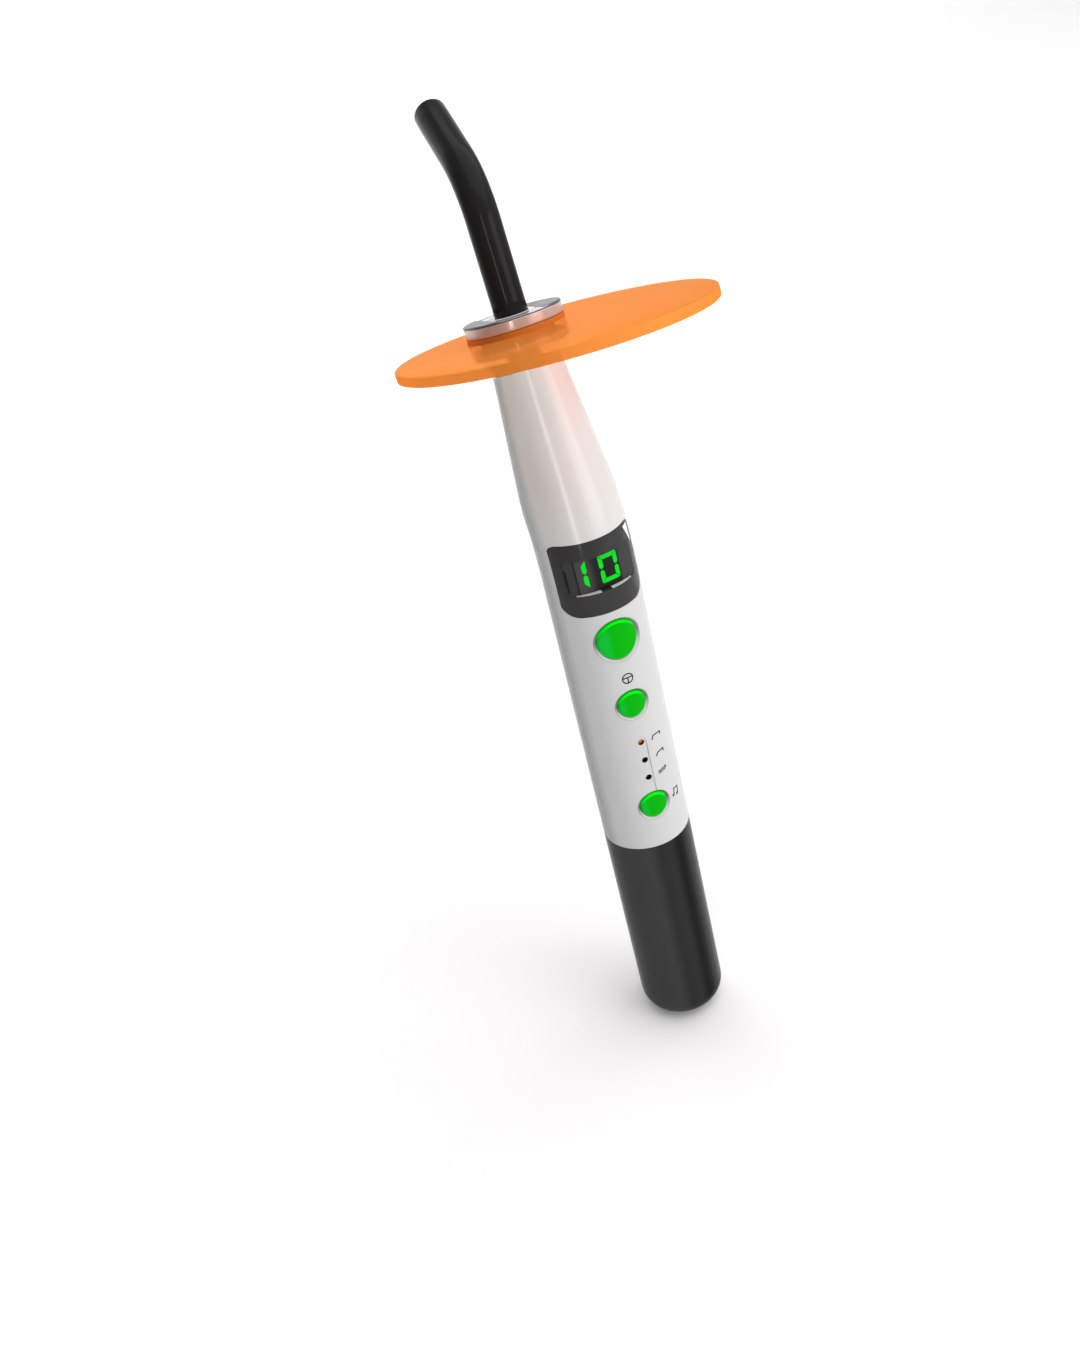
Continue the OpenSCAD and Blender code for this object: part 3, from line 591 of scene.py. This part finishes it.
def printed(name, strokes, width=STROKE):
    """Raised ink strokes on the handle's front. Each stroke is a list of (x, z), with z from the tail."""
    vertices, faces = [], []
    for stroke in strokes:
        path = [Vector((x, z)) for x, z in stroke]
        closed = (path[0] - path[-1]).length < 1e-7
        if closed:
            path = path[:-1]
        count = len(path)
        rings = []
        for i, p in enumerate(path):
            before = path[i - 1] if closed or i else p
            after = path[(i + 1) % count] if closed or i < count - 1 else p
            way_in = (p - before).normalized() if before != p else (after - p).normalized()
            way_out = (after - p).normalized() if after != p else way_in
            across = Vector((-(way_in.y + way_out.y), way_in.x + way_out.x)).normalized()
            reach = width / 2 / max(across.dot(Vector((-way_in.y, way_in.x))), 0.4)
            ring = []
            for side, lift in ((1, -INK_LIFT), (1, INK_LIFT), (-1, INK_LIFT), (-1, -INK_LIFT)):
                q = p + side * reach * across
                ring.append(len(vertices))
                vertices.append(on_handle(q.x, q.y, lift))
            rings.append(ring)
        if closed:
            rings.append(rings[0])
        else:
            faces += [tuple(rings[0]), tuple(rings[-1])]
        faces += skin(rings)
    return piece(name, vertices, faces, "print_ink", "handle", smooth=False)


def bar(x0, z0, x1, z1, count=6):
    """Points along a straight stroke."""
    return [(x0 + (x1 - x0) * i / count, z0 + (z1 - z0) * i / count) for i in range(count + 1)]


ICON_X = 3.2 * MM


def clock_icon():
    """A dial with a level hand and a hanging one, above the time button."""
    x, r, hand = 0.1 * MM, 1.45 * MM, 0.25 * MM
    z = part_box("time_button")[1][2] - BUTTON_FLANGE + 4.5 * MM
    dial = arc((x, z), r, 0, 360, 40)
    printed("icon_clock", [dial, bar(x - r, z + hand, x + r, z + hand), bar(x, z + hand, x, z - r)])


def rise_icon(name, lamp, foot, shoulder, end, drop):
    """A line that rises to a shoulder, runs on and drops. Its points are in mm from beside the lamp."""
    z = middle(lamp).z
    foot, shoulder, end, drop = [(ICON_X + a * MM, z + b * MM) for a, b in (foot, shoulder, end, drop)]
    printed(name, [bar(*foot, *shoulder, 2) + bar(*shoulder, *end)[1:] + [drop]])


def pulse_icon():
    """A train of three pulses that climbs a little."""
    step, tall, climb, turns = 0.5 * MM, 0.9 * MM, 0.1 * MM, 6
    low = middle("mode_lamp_3").z - tall / 2
    path = []
    for i in range(turns):
        x, z = ICON_X + step * i, low + climb * i
        corners = [(x, z), (x, z + tall)]
        path += corners if i % 2 == 0 else reversed(corners)
    printed("icon_pulse", [path], width=0.27 * MM)


def note_icon():
    """Two joined notes beside the mode button."""
    x, z = 6.4 * MM, middle("mode_button").z
    head_r = 0.28 * MM
    left_z, right_z = z - 0.7 * MM, z - 1.2 * MM
    left_top, right_top = (x + 0.5 * MM, z + 1.3 * MM), (x + 1.95 * MM, z + 0.9 * MM)
    stems = bar(x + head_r, left_z, *left_top, 3) + bar(*left_top, *right_top, 3)[1:]
    printed("icon_note", [
        arc((x, left_z), head_r, 0, 360, 10),
        arc((x + 1.5 * MM, right_z), head_r, 0, 360, 10),
        stems + [(x + 1.78 * MM, right_z)],
    ], width=0.33 * MM)


clock_icon()
rise_icon("icon_full", "mode_lamp_1", (0, -0.8), (0.46, 0.4), (2.9, 0.35), (2.9, -0.6))
rise_icon("icon_ramp", "mode_lamp_2", (0.26, -0.55), (0.87, 0.4), (2.8, 0.65), (2.9, -0.3))
pulse_icon()
note_icon()


# ------------------------------------------------------------------ collar with its raised lobes

COLLAR_R = 12.5 * MM
COLLAR_LOW = 1.3 * MM
COLLAR_TOP = 4.0 * MM
COLLAR_SHOULDER = COLLAR_TOP - 0.12 * MM
TRIM_LOW = COLLAR_SHOULDER - 0.12 * MM
TRIM_W = 0.6 * MM
LOBE_TOP = 4.4 * MM
FERRULE_TOP = COLLAR_TOP - 0.7 * MM
CHANNEL_HALF = 6.0 * MM
SOCKET_R = 6.0 * MM
HUB_R = 9.4 * MM
SHIELD_T = 2.5 * MM


def head_row(x, y, z):
    return TO_ROW @ Vector((x, y, z))


def turned(name, profile, paint, body, smooth=True, around=2 * AROUND):
    """A piece turned about the head's axis from a closed profile of (radius, height)."""

    def point(i, k):
        angle = 2 * pi * k / around
        return head_row(profile[i][0] * cos(angle), profile[i][0] * sin(angle), profile[i][1])

    vertices, faces = ring_mesh(point, len(profile), around)
    return piece(name, vertices, faces, paint, body, smooth=smooth)


def lobe(name, side):
    """One lobe, dark grey as a painted dark reflection of the collar's top: a crescent between the channel's edge
    and the collar's rim, rolled at both.
    """
    count, steps = 40, 24
    r = COLLAR_R - 0.02 * MM
    start = CHANNEL_HALF - 0.3 * MM
    rolled_edge, slope_w, depth = 0.5 * MM, 1.6 * MM, 0.25 * MM
    rise = LOBE_TOP - COLLAR_TOP - 0.01 * MM
    half = 0.9995 * sqrt(r * r - start * start)

    def level(x, y):
        inset = min(max((r - sqrt(x * x + y * y)) / rolled_edge, 0), 1)
        rim = sqrt(1 - (1 - inset) ** 2)
        slope = min(max((abs(x) - start) / slope_w, 0), 1)
        return COLLAR_TOP + rise * rim * slope * slope * (3 - 2 * slope)

    columns = []
    for i in range(steps + 1):
        t = i / steps
        columns.append([])
        for j in range(count + 1):
            y = -half + 2 * half * j / count
            far = sqrt(r * r - y * y)
            x = start + (far - start) * (1 - (1 - t) ** 1.8)
            columns[-1].append((x * side, y))
    vertices, faces = [], []
    rows = {}
    for low in (False, True):
        for i, column in enumerate(columns):
            for j, (x, y) in enumerate(column):
                rows[low, i, j] = len(vertices)
                vertices.append(head_row(x, y, COLLAR_TOP - depth if low else level(x, y)))
    for low in (False, True):
        for i in range(steps):
            for j in range(count):
                faces.append(tuple(rows[low, i + a, j + b] for a, b in ((0, 0), (1, 0), (1, 1), (0, 1))))
    edge = [(0, j) for j in range(count)] + [(i, count) for i in range(steps)]
    edge += [(steps, j) for j in range(count, 0, -1)] + [(i, 0) for i in range(steps, 0, -1)]
    for (i, j), (m, n) in zip(edge, edge[1:] + edge[:1]):
        faces.append((rows[False, i, j], rows[False, m, n], rows[True, m, n], rows[True, i, j]))
    return piece(name, vertices, faces, "lobe_grey", "collar")


collar_ring = turned("collar_ring", [
    (SOCKET_R, COLLAR_LOW),
    (COLLAR_R - 0.15 * MM, COLLAR_LOW),
    (COLLAR_R, COLLAR_LOW + 0.15 * MM),
    (COLLAR_R, COLLAR_LOW + 0.4 * MM),
    (COLLAR_R, COLLAR_SHOULDER - 0.3 * MM),
    (COLLAR_R, TRIM_LOW),
    (COLLAR_R - 0.2 * MM, TRIM_LOW),
    (COLLAR_R - 0.4 * MM, COLLAR_SHOULDER),
    (COLLAR_R - TRIM_W, COLLAR_TOP),
    (SOCKET_R + 0.3 * MM, COLLAR_TOP),
    (SOCKET_R, COLLAR_TOP - 0.1 * MM),
], "collar_silver", "collar")
# the trim round the collar's top edge is dark grey as a painted dark reflection along the bevel
turned("collar_trim", [
    (COLLAR_R, TRIM_LOW),
    (COLLAR_R, COLLAR_SHOULDER + 0.04 * MM),
    (COLLAR_R - 0.15 * MM, COLLAR_TOP + 0.02 * MM),
    (COLLAR_R - TRIM_W, COLLAR_TOP + 0.03 * MM),
    (COLLAR_R - TRIM_W, TRIM_LOW),
], "lobe_grey", "collar")
lobe("collar_lobe_left", -1)
lobe("collar_lobe_right", 1)


def hub():
    """What of the collar lies below the ring: the hub in the shield's hole and the spigot in the neck."""
    top, shield_foot, foot = COLLAR_LOW + 0.2 * MM, -SHIELD_T, -11 * MM
    spigot_r, bead_r = 6.95 * MM, 7.25 * MM
    bead_top, bead_low = -6.5 * MM, -7.5 * MM
    slant, chamfer = 0.1 * MM, 0.3 * MM
    return turned("collar_hub", [
        (SOCKET_R, top), (HUB_R, top), (HUB_R, shield_foot), (spigot_r, shield_foot),
        (spigot_r, bead_top + slant), (bead_r, bead_top), (bead_r, bead_low), (spigot_r, bead_low - slant),
        (spigot_r, foot + chamfer), (spigot_r - chamfer, foot), (SOCKET_R, foot),
    ], "collar_silver", "collar", smooth=False, around=AROUND)


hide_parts("head_collar")
hub()


# ------------------------------------------------------------------ eye shield

SHIELD_HOLE_R = HUB_R + 0.05 * MM
SHIELD_W = 73 * MM
SHIELD_L = 96 * MM
SHIELD_OFFSET = 18 * MM
SHIELD_TURN = radians(10.9)
BOSS_R = COLLAR_R - 0.06 * MM
BOSS_TOP = 1.2 * MM
BOSS_FOOT = -0.05 * MM
BOSS_EDGE = 0.1 * MM


def eye_shield():
    """An oval sheet with softened edges. Its faces run from the hole to the rim in rings."""
    soft = 0.35 * MM
    around = 256
    spread = [i / 12 for i in range(13)]
    edge = [(sin(radians(a)), 1 - cos(radians(a))) for a in range(0, 91, 18)]
    profile = [(s, 0.0, 0.0) for s in spread]
    for out, drop in edge[1:]:
        profile.append((1.0, out * soft, drop * soft))
    for out, drop in reversed(edge):
        profile.append((1.0, out * soft, SHIELD_T - drop * soft))
    for s in reversed(spread[:-1]):
        profile.append((s, 0.0, SHIELD_T))

    def point(i, k):
        s, out, drop = profile[i]
        angle = 2 * pi * k / around
        hole = Vector((SHIELD_HOLE_R * cos(angle), SHIELD_HOLE_R * sin(angle)))
        a, b = SHIELD_W / 2 - soft + out, SHIELD_L / 2 - soft + out
        ca, sa = cos(angle), sin(angle)
        qa = (ca / a) ** 2 + (sa / b) ** 2
        qb = 2 * sa * SHIELD_OFFSET / b**2
        qc = (SHIELD_OFFSET / b) ** 2 - 1
        reach = (-qb + sqrt(qb * qb - 4 * qa * qc)) / (2 * qa)
        rim = Vector((reach * ca, reach * sa))
        p = hole.lerp(rim, s) if s < 1 else rim
        x = p.x * cos(SHIELD_TURN) - p.y * sin(SHIELD_TURN)
        y = p.x * sin(SHIELD_TURN) + p.y * cos(SHIELD_TURN)
        return head_row(x, y, -drop)

    vertices, faces = ring_mesh(point, len(profile), around)
    obj = piece("shield_disc", vertices, faces, "shield_orange", "shield")
    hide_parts("eye_shield")
    return obj


eye_shield()
turned("shield_boss", [
    (SHIELD_HOLE_R, BOSS_FOOT), (BOSS_R, BOSS_FOOT), (BOSS_R, BOSS_TOP - BOSS_EDGE),
    (BOSS_R - BOSS_EDGE, BOSS_TOP), (SHIELD_HOLE_R, BOSS_TOP),
], "shield_orange", "shield", smooth=False)


# ------------------------------------------------------------------ light guide sheath


def sheath():
    """The bent black sheath, swept along the guide, with a softened end."""
    turn, bend = radians(-2.9), radians(54)
    straight, bend_r, tip = 26.3 * MM, 19.7 * MM, 20.1 * MM
    r, bore = 4.29 * MM, 3.35 * MM
    foot = FERRULE_TOP
    soft = 0.35 * MM
    curve_end = straight + bend_r * bend
    end = curve_end + tip
    stations = [foot + (straight - foot) * i / 6 for i in range(7)]
    stations += [straight + bend_r * bend * i / 20 for i in range(1, 21)]
    stations += [curve_end + (tip - soft) * i / 5 for i in range(1, 6)]
    profile = [(s, r) for s in stations]
    profile += arc((end - soft, r - soft), soft, 75, 0, 5)
    profile += [(end, bore)] + [(s, bore) for s in reversed(stations)]

    def spine(s):
        """The point and the lean of the guide's middle line at length s."""
        if s <= straight:
            y, z, lean = 0.0, s, 0.0
        elif s <= curve_end:
            lean = (s - straight) / bend_r
            y, z = bend_r * (1 - cos(lean)), straight + bend_r * sin(lean)
        else:
            lean, rest = bend, s - curve_end
            y = bend_r * (1 - cos(bend)) + rest * sin(bend)
            z = straight + bend_r * sin(bend) + rest * cos(bend)
        return y, z, lean

    def point(i, k):
        s, rho = profile[i]
        y, z, lean = spine(s)
        angle = 2 * pi * k / AROUND
        px, py = rho * cos(angle), rho * sin(angle)
        local = Vector((px, y + py * cos(lean), z - py * sin(lean)))
        return TO_ROW @ (Matrix.Rotation(turn, 3, "Z") @ local)

    vertices, faces = ring_mesh(point, len(profile), AROUND)
    obj = piece("guide_sleeve", vertices, faces, "guide_black", "light_guide")
    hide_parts("guide_sheath")
    return obj


sheath()


# ------------------------------------------------------------------ floor, light and camera


def area_light(name, place, target, size, power, spread=pi):
    light = bpy.data.lights.new(name, "AREA")
    light.shape = "RECTANGLE"
    light.size, light.size_y = size
    light.energy = power
    light.spread = spread
    obj = bpy.data.objects.new(name, light)
    obj.location = place
    obj.rotation_euler = (Vector(target) - Vector(place)).to_track_quat("-Z", "Y").to_euler()
    bpy.context.scene.collection.objects.link(obj)
    return obj


def backdrop():
    """A pale floor that curves up into a wall behind the handle."""
    near, bend_y, bend_r, top, half_w = -3.0, 0.9, 0.6, 3.0, 3.0
    profile = [(near, 0.0), (bend_y, 0.0)] + arc((bend_y, bend_r), bend_r, -85, 0, 16)
    profile.append((bend_y + bend_r, top))
    vertices = [(x, y, z) for y, z in profile for x in (-half_w, half_w)]
    faces = [(2 * i, 2 * i + 1, 2 * i + 3, 2 * i + 2) for i in range(len(profile) - 1)]
    mesh = bpy.data.meshes.new("backdrop")
    mesh.from_pydata(vertices, [], faces)
    mesh.shade_smooth()
    obj = bpy.data.objects.new("backdrop", mesh)
    obj.location = (0, 0, -0.2 * MM)
    paint = Paint("backdrop_pale", Roughness=0.9)
    paint.colour(paint.mix(paint.noise(0.3, 2), (0.95, 0.95, 0.95), (0.94, 0.94, 0.94)))
    mesh.materials.append(paint.material)
    bpy.context.scene.collection.objects.link(obj)


backdrop()


def studio_world(dark, bright):
    """A soft surround, dark on the left (-X) and bright on the right."""
    world = bpy.data.worlds.new("studio")
    bpy.context.scene.world = world
    world.use_nodes = True
    tree = world.node_tree
    direction = tree.nodes.new("ShaderNodeTexCoord").outputs["Generated"]
    split = tree.nodes.new("ShaderNodeSeparateXYZ")
    span = tree.nodes.new("ShaderNodeMapRange")
    span.inputs["From Min"].default_value = -1
    span.inputs["To Min"].default_value = dark
    span.inputs["To Max"].default_value = bright
    tree.links.new(direction, split.inputs["Vector"])
    tree.links.new(split.outputs["X"], span.inputs["Value"])
    tree.links.new(span.outputs["Result"], tree.nodes["Background"].inputs["Strength"])
    tree.nodes["Background"].inputs["Color"].default_value = (1, 1, 1, 1)


studio_world(0.06, 0.7)
grip = Vector((0, 0, 0.13))
area_light("sky", (0.5, -0.1, 1.25), grip, (1.8, 1.8), 16)
area_light("fill", (0.5, -0.65, 0.30), (0, 0, 0.18), (0.5, 0.4), 2.2)
area_light("strip", (-0.30, -0.70, 0.30), (0, 0, 0.16), (0.05, 0.5), 1.3)
area_light("backdrop_wash", (-0.5, 0.2, 1.5), (-0.7, 1.6, 0.3), (1.0, 0.6), 14, spread=1.9)

CAMERA_PLACE = Vector((-0.09479, -0.32452, 0.34118))
CAMERA_TARGET = Vector((-0.018597, 0.004309, 0.127208))
CAMERA_ROLL = radians(-14.487)
camera_data = bpy.data.cameras.new("camera")
camera_data.sensor_width = 36
camera_data.lens = 39.676
camera_data.clip_start = 0.01
camera = bpy.data.objects.new("camera", camera_data)
aim = (CAMERA_TARGET - CAMERA_PLACE).to_track_quat("-Z", "Y")
camera.rotation_mode = "QUATERNION"
camera.rotation_quaternion = aim @ Quaternion((0, 0, 1), CAMERA_ROLL)
camera.location = CAMERA_PLACE
bpy.context.scene.collection.objects.link(camera)
bpy.context.scene.camera = camera
bpy.context.scene.view_settings.view_transform = "Standard"
